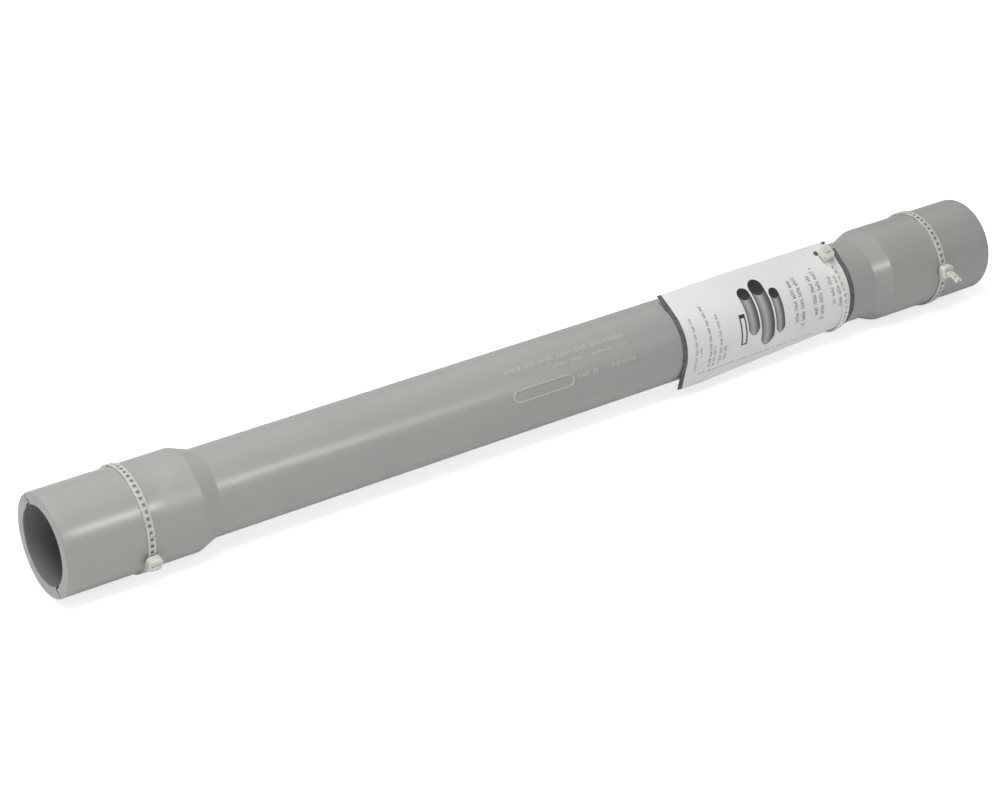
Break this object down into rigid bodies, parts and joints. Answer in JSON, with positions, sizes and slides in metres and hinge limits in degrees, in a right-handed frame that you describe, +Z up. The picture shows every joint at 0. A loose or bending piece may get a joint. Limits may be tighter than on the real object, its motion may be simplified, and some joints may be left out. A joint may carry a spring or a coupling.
{
  "type": "split conduit sleeve",
  "caption": "Split plastic repair sleeve for rigid conduit: interlocking half shells with a socket at each end, held shut by ladder ties, with a label on a folded backing sheet.",
  "frame": {"origin": "on the sleeve's axis, halfway along", "axes": "+X along the sleeve towards the socket beside the label, +Z up as the sleeve lies on the lowest links of its two outer ties"},
  "size_m": [0.708, 0.0831, 0.0705],
  "materials": {
    "grey_shell": "moulded grey PVC with a soft satin gloss",
    "natural_nylon": "natural, slightly see-through nylon",
    "label_paper": "white paper with grey and black print",
    "backing_card": "dark grey mottled sheet"
  },
  "bodies": {
    "root": {"front_half_shell": "grey_shell", "rear_half_shell": "grey_shell", "near_cable_tie": "natural_nylon", "far_cable_tie": "natural_nylon", "label_cable_tie": "natural_nylon", "printed_label": "label_paper", "backing_sheet": "backing_card"}
  },
  "joints": []
}
